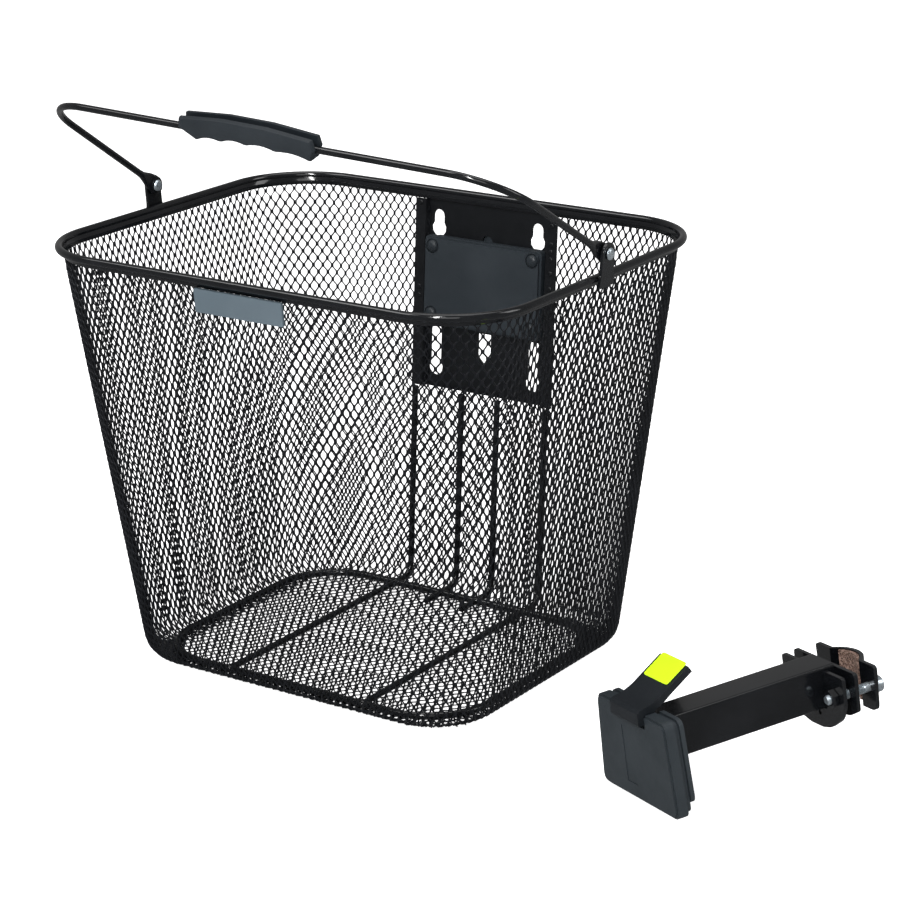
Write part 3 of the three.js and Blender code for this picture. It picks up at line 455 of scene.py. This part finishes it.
# ------------------------------------------------------------------ outline of the basket
def wall_at(z):
    """Outline of the wall sheet at a height."""
    t = z / HEIGHT
    at = {key: WALL_BASE[key] + (WALL_TOP[key] - WALL_BASE[key]) * t for key in WALL_BASE}
    half_y = (at["back"] - at["front"]) / 2
    return {
        "half_x": at["half_x"],
        "half_y": half_y,
        "mid_y": (at["back"] + at["front"]) / 2,
        "corner": at["corner"],
    }


def perimeter(outline):
    return 4 * (outline["half_x"] + outline["half_y"]) - (8 - TAU) * outline["corner"]


def along_outline(outline, distance, inset=0.0):
    """Point and outward direction at a distance round the outline, anticlockwise from the front's middle.

    An inset moves the point inwards.
    """
    straight_x = outline["half_x"] - outline["corner"]
    straight_y = outline["half_y"] - outline["corner"]
    arc = outline["corner"] * math.pi / 2
    left = distance % perimeter(outline)
    heading = 0  # degrees: the direction of travel
    x, y = 0.0, -outline["half_y"]
    legs = [straight_x, arc, 2 * straight_y, arc, 2 * straight_x, arc, 2 * straight_y, arc, straight_x]
    for i, leg in enumerate(legs):
        step = min(left, leg)
        a = rad(heading)
        if i % 2 == 0:
            x += step * math.cos(a)
            y += step * math.sin(a)
        else:
            r = outline["corner"]
            turn = step / r
            x += r * (math.sin(a + turn) - math.sin(a))
            y += r * (math.cos(a) - math.cos(a + turn))
            heading += math.degrees(turn)
        left -= step
        if left <= 1e-9:
            break
    out = rad(heading - 90)
    ox, oy = math.cos(out), math.sin(out)
    return (x - inset * ox, y + outline["mid_y"] - inset * oy), (ox, oy)


def loop_path(outline, z, steps):
    """Level closed path round an outline."""
    length = perimeter(outline)
    return [(*along_outline(outline, length * i / steps)[0], z) for i in range(steps)]


# ------------------------------------------------------------------ expanded metal
# Each strand runs up the sheet and is shared, bond by bond, with the strand on its left and its right.
COLUMNS = 178  # bonds side by side round the wall
ROWS = 57  # half rows of bonds up the wall
ROW_LOW, ROW_SPAN = -13.6, 286  # height of the lowest row, and from it to the highest
ROW_EASE = 0.045  # how much closer the rows get towards the top
STRETCH, STRETCH_AT = 0.12, 0.09  # how unevenly the sheet is stretched round the wall, and its phase
ARCH_FRONT, ARCH_BACK = 4.5, 7.0  # how far rows rise in the middle of the front and of the back
ARCH_HALF = 115 / 1090  # half the width of that bow, as a share of the way round
ARCH_FROM, ARCH_OVER = 150, 95  # height where it sets in, and over how much height
ARCH_BELOW = 0.2  # share of the bow that is there already where it sets in
COLUMN_LEAN = 0.02  # sideways shift of a column per unit of height
HEEL_LIFT = 0.85  # height of the sheet's middle where the heel meets the floor
NARROWEST = 0.6  # least width of a bond under the heel's corners, as a share
STRAND = 0.95  # half the width of a bond
TILT = 0.6  # how far a strand's edges stand out of the sheet
BOND_HALF = 1.05  # half the height of a bond
WAIST = 0.16  # how much the diagonals are drawn in from each edge
PRESSED_FROM, PRESSED_TILT = 262, 0.4  # the sheet is pressed flatter above this height
COAT = 0.78  # thickness of the coated strand
MESH_TOP, BELOW_PLATE_TOP = 273.2, STAY_TOP + 3
SECTORS = [  # the CAD's wall pieces, as shares of the way round from the front's middle
    ("mesh_front", -0.1025, 0.1025),
    ("mesh_corner_front_right", 0.1025, 0.1761),
    ("mesh_right", 0.1761, 0.3239),
    ("mesh_corner_back_right", 0.3239, 0.3975),
    ("mesh_back_right", 0.3975, 0.4525),
    ("mesh_back_lower", 0.4525, 0.5475),
    ("mesh_back_left", 0.5475, 0.6025),
    ("mesh_corner_back_left", 0.6025, 0.6761),
    ("mesh_left", 0.6761, 0.8239),
    ("mesh_corner_front_left", 0.8239, 0.8975),
]


def column_share(column):
    """Share of the way round at a half-pitch column."""
    v = column / (2 * COLUMNS)
    return v - STRETCH / (2 * TAU) * math.sin(2 * TAU * (v + STRETCH_AT))


def row_height(row):
    q = row / ROWS
    return ROW_LOW + ROW_SPAN * (q * (1 + ROW_EASE) - ROW_EASE * q * q)


def row_arch(share, height):
    """Rise of a row: rows bow upwards in the middle of the front and back, mostly near the top."""
    below = ARCH_BELOW * min(max(height / ARCH_FROM, 0), 1)
    above = (1 - ARCH_BELOW) * smooth((height - ARCH_FROM) / ARCH_OVER)
    rise = 0.0
    for middle, most in ((0.0, ARCH_FRONT), (0.5, ARCH_BACK), (1.0, ARCH_FRONT)):
        away = (share - middle) / ARCH_HALF
        rise = max(rise, most * (1 - away * away))
    return rise * (below + above)


def wall_point(share, offset, height, depth):
    """A point on the wall sheet: share of the way round, sideways offset, height and depth (outward).

    Heights below the heel run on round it and along the floor.
    """
    arched = height + row_arch(share % 1, height)
    lean = COLUMN_LEAN * arched
    if arched >= HEEL:
        outline = wall_at(arched)
        (x, y), (ox, oy) = along_outline(outline, share * perimeter(outline) + offset - lean)
        return (x + depth * ox, y + depth * oy, arched)
    turn = min((HEEL - arched) / HEEL, math.pi / 2)
    out, down = math.cos(turn), math.sin(turn)
    low = wall_at(HEEL * (1 - down))
    beyond = max(HEEL - arched - HEEL * math.pi / 2, 0)
    pull = HEEL * (1 - out) + beyond
    shrink = max((low["corner"] - pull) / low["corner"], NARROWEST)
    (x, y), (ox, oy) = along_outline(low, share * perimeter(low) + offset * shrink - lean, pull)
    return (x + depth * out * ox, y + depth * out * oy, HEEL * (1 - down) + HEEL_LIFT - depth * down)


def strand_rings(strand, first_row, last_row, tilt):
    """Bond by bond along a strand: column, sideways offsets of both edges, row, depths of both edges."""
    rings = []
    for row in range(first_row, last_row + 1):
        left_bond = (strand + row) % 2 == 0
        column = strand if left_bond else strand + 1
        edges = (0.0, STRAND) if left_bond else (-STRAND, 0.0)
        depths = (0.0, tilt) if left_bond else (-tilt, 0.0)
        rings.append((column, edges, row, depths))
    return rings


def wall_strand(strand, top):
    """Pairs of points up a strand, which ends below top: each bond's two ends, then mid diagonal."""
    points = []
    rings = strand_rings(strand, 0, ROWS, TILT)
    for (column, edges, row, depths), following in zip(rings, rings[1:] + [None]):
        share = column_share(column)
        centre = row_height(row)
        spots = [(share, edges, centre - BOND_HALF, depths), (share, edges, centre + BOND_HALF, depths)]
        if following:
            share_2 = column_share(following[0])
            mid_share = (share + share_2) / 2
            mid_height = (centre + row_height(following[2])) / 2
            mid_left = (edges[0] + following[1][0]) / 2 + WAIST
            mid_right = (edges[1] + following[1][1]) / 2 - WAIST
            mid_depths = tuple((a + b) / 2 for a, b in zip(depths, following[3]))
            spots.append((mid_share, (mid_left, mid_right), mid_height, mid_depths))
        for spot_share, spot_edges, height, spot_depths in spots:
            if height + row_arch(spot_share % 1, height) > top:
                return points
            flat = 1 if height < PRESSED_FROM else PRESSED_TILT
            points.append(
                [wall_point(spot_share, o, height, d * flat) for o, d in zip(spot_edges, spot_depths)]
            )
    return points


def sheet_piece(name, strands, nodes):
    """Join strands of paired points into one solid sheet."""
    points, faces = [], []
    for pairs in strands:
        base = len(points)
        for a, b in pairs:
            points += [a, b]
        for i in range(len(pairs) - 1):
            k = base + 2 * i
            faces.append((k, k + 1, k + 3, k + 2))
    obj = from_points(name, points, faces)
    weld(obj.data, 2e-5)
    solid = obj.modifiers.new("coat", "SOLIDIFY")
    solid.thickness = COAT * MM
    solid.offset = 0
    baked(obj)
    return finish_piece(obj, *nodes, sharp=0)


def wall_mesh():
    for name, start, end in SECTORS:
        top = BELOW_PLATE_TOP if name == "mesh_back_lower" else MESH_TOP
        strands = []
        for strand in range(-2 * COLUMNS, 2 * COLUMNS):
            if start <= column_share(strand + 0.5) < end:
                strands.append(wall_strand(strand, top))
        sheet_piece(name + ".expanded", strands, [name])


FLOOR_PITCH = 6.1  # bonds side by side, along X
FLOOR_ROW = 5.0  # half rows, along Y
FLOOR_HALF, FLOOR_LAST_ROW = 126, 24  # half the width it covers, and the last half row either way
FLOOR_Z, FLOOR_TILT = 0.95, 0.32
FLOOR_UNDER_HEEL = 5  # how far its ends run on under the heel


def floor_half_depth(x):
    """Front and back ends of the floor mesh at x, or None beside it."""
    low = wall_at(0)
    pull = HEEL - FLOOR_UNDER_HEEL
    half_x, corner = low["half_x"] - pull, low["corner"] - pull
    past = max(abs(x) - (half_x - corner), 0)
    if past >= corner:
        return None
    trim = corner - math.sqrt(corner ** 2 - past ** 2)
    return low["mid_y"] - low["half_y"] + pull + trim, low["mid_y"] + low["half_y"] - pull - trim


def floor_mesh():
    strands = []
    half_columns = int(FLOOR_HALF / FLOOR_PITCH) * 2
    for strand in range(-half_columns, half_columns):
        ends = floor_half_depth((strand + 0.5) * FLOOR_PITCH / 2)
        if not ends:
            continue
        pairs = []
        for column, edges, row, depths in strand_rings(strand, -FLOOR_LAST_ROW, FLOOR_LAST_ROW, FLOOR_TILT):
            x = column * FLOOR_PITCH / 2
            for y in (row * FLOOR_ROW - BOND_HALF, row * FLOOR_ROW + BOND_HALF):
                if ends[0] < y < ends[1]:
                    pairs.append([(x + o, y, FLOOR_Z + d) for o, d in zip(edges, depths)])
        if len(pairs) > 1:
            strands.append(pairs)
    sheet_piece("mesh_floor.expanded", strands, ["mesh_floor"])


# ------------------------------------------------------------------ wires, rim and hem
def stay_path(x, front_end):
    """Down the back wall, round the heel, and forward over the floor to front_end."""
    def wall_y(z):
        return WALL_BASE["back"] + (WALL_TOP["back"] - WALL_BASE["back"]) * z / HEIGHT - STAY_INSET

    bend = 11
    knee = Vector((x, wall_y(RING_Z + bend), RING_Z + bend))
    corner = Vector((x, wall_y(RING_Z), RING_Z))
    foot = Vector((x, corner.y - bend, RING_Z))
    path = [Vector((x, wall_y(STAY_TOP), STAY_TOP)).lerp(knee, i / 12) for i in range(12)]
    for i in range(9):
        t = i / 8
        path.append(knee * (1 - t) ** 2 + corner * 2 * t * (1 - t) + foot * t * t)
    path += [foot.lerp(Vector((x, front_end, RING_Z)), i / 12) for i in range(1, 13)]
    return path


def weld_bead(name, at, size):
    """Small fillet of weld metal where two wires cross."""
    points = []
    sides, rings = 14, 8
    for i in range(rings + 1):
        a = math.pi * i / rings
        for j in range(sides):
            b = TAU * j / sides
            lumpy = 1 + 0.06 * math.sin(3 * b + 2 * a)
            spot = (math.cos(a), math.sin(a) * math.cos(b), math.sin(a) * math.sin(b))
            points.append([at[k] + size[k] * spot[k] * lumpy for k in range(3)])
    obj = from_points(name, points, ring_faces(rings + 1, sides))
    weld(obj.data)
    return finish_piece(obj, body="basket", slot="frame_paint", sharp=0)


def basket_wires():
    finish_piece(tube("rim_wire.round", loop_path(RIM, HEIGHT, 260), RIM_WIRE, True, 24), "rim_wire")
    finish_piece(tube("bottom_ring.round", loop_path(RING, RING_Z, 200), RING_WIRE, True, 20), "bottom_ring")
    for side, sign in (("left", -1), ("right", 1)):
        front = -RING["half_y"] + 0.5
        outer = tube(f"stay_outer_{side}.round", stay_path(sign * STAY_OUTER, front), STAY_WIRE)
        finish_piece(outer, f"stay_outer_{side}", f"floor_wire_{side}")
        back = RING["half_y"] - RING_WIRE - STAY_STUB
        inner = tube(f"stay_inner_{side}.round", stay_path(sign * STAY_INNER, back), STAY_WIRE)
        finish_piece(inner, f"stay_inner_{side}", f"floor_stub_{side}")
        for name, x, y in (
            (f"bead_back_outer_{side}", STAY_OUTER, RING["half_y"]),
            (f"bead_front_{side}", STAY_OUTER, -RING["half_y"]),
            (f"bead_back_inner_{side}", STAY_INNER, RING["half_y"]),
        ):
            weld_bead(name, (sign * x, y, RING_Z + 0.2), (3.6, 3.5, 2.7))


def hem():
    """Folded strip that closes the mesh under the rim."""
    steps = 300
    half = HEM_THICK / 2
    fold = HEM_HIGH + HEM_FOLD
    chamfer, edge = HEM_LOW + 0.5, half * 0.6
    section = [(-half, chamfer), (-half, HEM_HIGH), (-0.1, fold), (half, fold - 0.4)]
    section += [(half, chamfer), (edge, HEM_LOW), (-edge, HEM_LOW)]
    points = []
    for i in range(steps):
        for depth, z in section:
            outline = wall_at(z)
            (x, y), (ox, oy) = along_outline(outline, perimeter(outline) * i / steps)
            points.append((x + depth * ox, y + depth * oy, z))
    obj = from_points("rim_hem.folded", points, ring_faces(steps, len(section), True))
    weld(obj.data)
    finish_piece(obj, "rim_hem", sharp=50)


# ------------------------------------------------------------------ bail
# The flattened eyes. Their lengths are distances from the pivot.
EYE = {"end": -6, "half_wide": 6, "half_thick": 1.1, "waist": 5, "waist_wide": 5.4, "flat": 7}
EYE_KNEE, EYE_TAPER = 17, 19  # where the wire starts to lean outwards, and where it is round again
EYE_ROUND = 6.05  # radius of an eye's end, just over its length so that it keeps some width
EYE_SQUARE = 0.45  # power that squares an eye's section


def bail_lean(x):
    return rad(BAIL_LEAN + BAIL_TWIST * x / BAIL["half"])


def bail_point(x, reach):
    lean = bail_lean(x)
    return Vector((x, PIVOT_Y - math.sin(lean) * reach, PIVOT_Z + math.cos(lean) * reach))


def bail_half_line():
    """Points (x, reach) of the bail from its right eye's end to the middle of the bar."""
    start = Vector((BAIL["x"], EYE["end"]))
    knee = Vector((BAIL["x"], EYE_KNEE))
    tip = Vector((BAIL["half"], BAIL["reach"]))
    up = (tip - knee).normalized()
    turn = math.pi - math.acos(up.x)
    trim = BAIL["corner"] * math.tan(turn / 2)
    arm_end = tip - up * trim
    centre = Vector((tip.x - trim, tip.y - BAIL["corner"]))
    half = [start.lerp(knee, i / 22) for i in range(22)]
    half += [knee.lerp(arm_end, i / 24) for i in range(24)]
    first = math.degrees(math.atan2(arm_end.y - centre.y, arm_end.x - centre.x))
    half += [Vector(p) for p in arc_points(centre, BAIL["corner"], first, 90, 20)]
    half += [Vector((tip.x - trim, tip.y)).lerp(Vector((0, tip.y)), i / 24) for i in range(1, 25)]
    return half


def bail_wire():
    half = bail_half_line()
    line = half + [Vector((-p.x, p.y)) for p in reversed(half[:-1])]
    centres = [bail_point(p.x, p.y) for p in line]
    sides = 20
    points = []
    for i, (spot, here) in enumerate(zip(line, centres)):
        before = centres[max(i - 1, 0)]
        after = centres[min(i + 1, len(centres) - 1)]
        along = (after - before).normalized()
        lean = bail_lean(spot.x)
        normal = Vector((0, math.cos(lean), math.sin(lean)))  # of the bail's plane
        across = along.cross(normal).normalized()
        wide, thick = eye_section(spot.y)
        for j in range(sides):
            a = TAU * j / sides
            sideways = across * thick * squared(math.cos(a), spot.y)
            points.append(here + sideways + normal * wide * squared(math.sin(a), spot.y))
    obj = from_points("bail_wire.round", points, ring_faces(len(centres), sides))
    weld(obj.data)
    finish_piece(obj, "bail_wire", sharp=55)


def eye_section(reach):
    """Half width and half thickness of the bail at a distance from the pivot: its eye, then its wire."""
    wire, waist_wide = BAIL["wire"], EYE["waist_wide"]
    if reach < 0:
        wide = EYE["half_wide"] * math.sqrt(1 - (reach / EYE_ROUND) ** 2)
    elif reach < EYE["waist"]:
        wide = EYE["half_wide"] - (EYE["half_wide"] - waist_wide) * (reach / EYE["waist"]) ** 2
    else:
        narrowing = smooth((reach - EYE["waist"]) / (EYE_TAPER - EYE["waist"]))
        wide = waist_wide + (wire - waist_wide) * narrowing
    thickening = smooth((reach - EYE["flat"]) / (EYE_TAPER - EYE["flat"]))
    return wide, EYE["half_thick"] + (wire - EYE["half_thick"]) * thickening


def squared(value, reach):
    """A sine or cosine for the section's outline: squarer in the eye, round along the wire."""
    t = min(max((reach - EYE["flat"]) / (EYE_TAPER - EYE["flat"]), 0), 1)
    power = EYE_SQUARE + (1 - EYE_SQUARE) * t
    return math.copysign(abs(value) ** power, value)


# ------------------------------------------------------------------ small hardware
# Lengths along a bolt are the bracket's y, from its blunt tip out to its head.
BOLT = {"x": 22, "z": -3.5, "tip": 102.5, "threaded": 26, "seat": 135.1, "head": 5, "high": 6}
KEY = {"radius": 2.9, "rim": 3.3, "bevel": 0.3, "deep": 3}
THREAD = {"outer": 3.0, "core": 2.45, "pitch": 1.0, "steps": 8, "blunt": 2.0, "start": 2.2, "lead_in": 0.9}


def round_radius(radius):
    return lambda angle: radius


def key_radius(angle):
    """Radius of the hexagon socket in a direction."""
    return KEY["radius"] * math.cos(rad(30)) / math.cos(angle % rad(60) - rad(30))


def thread_radius(along):
    """Radius of the thread by direction, at a distance from the bolt's tip; it starts shallow."""
    depth = THREAD["outer"] - THREAD["core"]
    ease = min(along / THREAD["lead_in"], 1)

    def radius(angle):
        phase = (along / THREAD["pitch"] - angle / TAU) % 1
        ridge = min(2 * min(phase, 1 - phase) * 1.25, 1)  # flattened crests
        return THREAD["start"] + (THREAD["core"] + depth * ridge - THREAD["start"]) * ease

    return radius


def clamp_bolt(side, sign):
    """Socket-head bolt with its thread, seen when the clamp is loosened."""
    tip, seat, head = BOLT["tip"], BOLT["seat"], BOLT["head"]
    top = seat + BOLT["high"]
    rows = [(tip, round_radius(THREAD["blunt"]))]
    turns = int(BOLT["threaded"] / THREAD["pitch"])
    for i in range(turns * THREAD["steps"] + 1):
        along = i / THREAD["steps"] * THREAD["pitch"]
        rows.append((tip + along, thread_radius(along)))
    for along, radius in (
        (tip + BOLT["threaded"] + 0.4, THREAD["outer"]),
        (seat, THREAD["outer"]),
        (seat, head - 0.3),
        (seat + 0.3, head),
        (top - 0.9, head),
        (top - 0.5, head - 0.15),
        (top - 0.15, head - 0.5),
        (top, head - 0.9),
        (top, KEY["rim"]),
    ):
        rows.append((along, round_radius(radius)))
    rows.append((top - KEY["bevel"], key_radius))
    rows.append((top - KEY["deep"], key_radius))
    rows.append((top - KEY["deep"], round_radius(CLOSED_END)))
    sides = 48
    points = []
    for along, radius in rows:
        for j in range(sides):
            a = TAU * j / sides
            r = radius(a)
            points.append((sign * BOLT["x"] + r * math.sin(a), along, BOLT["z"] + r * math.cos(a)))
    obj = from_points(f"clamp_bolt_{side}.threaded", points, ring_faces(len(rows), sides), BRACKET)
    weld(obj.data)
    finish_piece(obj, f"clamp_bolt_{side}", sharp=38)


def weld_spots():
    """Flat spots left by spot welding down both edges of the mounting plate."""
    edge, face = 52.5, -2.4  # of the plate, as the back wall's x and y
    profile = [(1.9, -0.2), (1.7, 0.3), (1.1, 0.55), (0.6, 0.5), (0, 0.45)]
    spots = [(-edge, z) for z in (268, 210, 204)]
    spots += [(edge, z) for z in (264.5, 252, 247, 242, 232.5, 222)]
    for i, (x, z) in enumerate(spots):
        spot = lathe(f"weld_spot_{i}", profile, (x, face, z), (0, -1, 0), BACK_WALL, 24)
        weld(spot.data)
        finish_piece(spot, body="basket", slot="plate_paint", sharp=50)


# ------------------------------------------------------------------ run
place_camera()
studio()
plain_floor()
wall_mesh()
floor_mesh()
basket_wires()
hem()
bail_wire()
clamp_bolt("left", -1)
clamp_bolt("right", 1)
weld_spots()

# Every CAD piece that isn't replaced yet gets rounded edges. The widths are in millimetres.
EDGE = {"cover_plate": 0.8, "grip": 0.5, "arm_tube": 0.9, "lever_spring": 0.05, "badge": 0.6}
USUAL_EDGE = 0.4
DONE = {name for obj in bpy.data.objects for name in obj.get("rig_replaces", [])}
for node_name in sorted(frame["nodes"]):
    if node_name not in DONE:
        refined(node_name, EDGE.get(node_name, USUAL_EDGE))
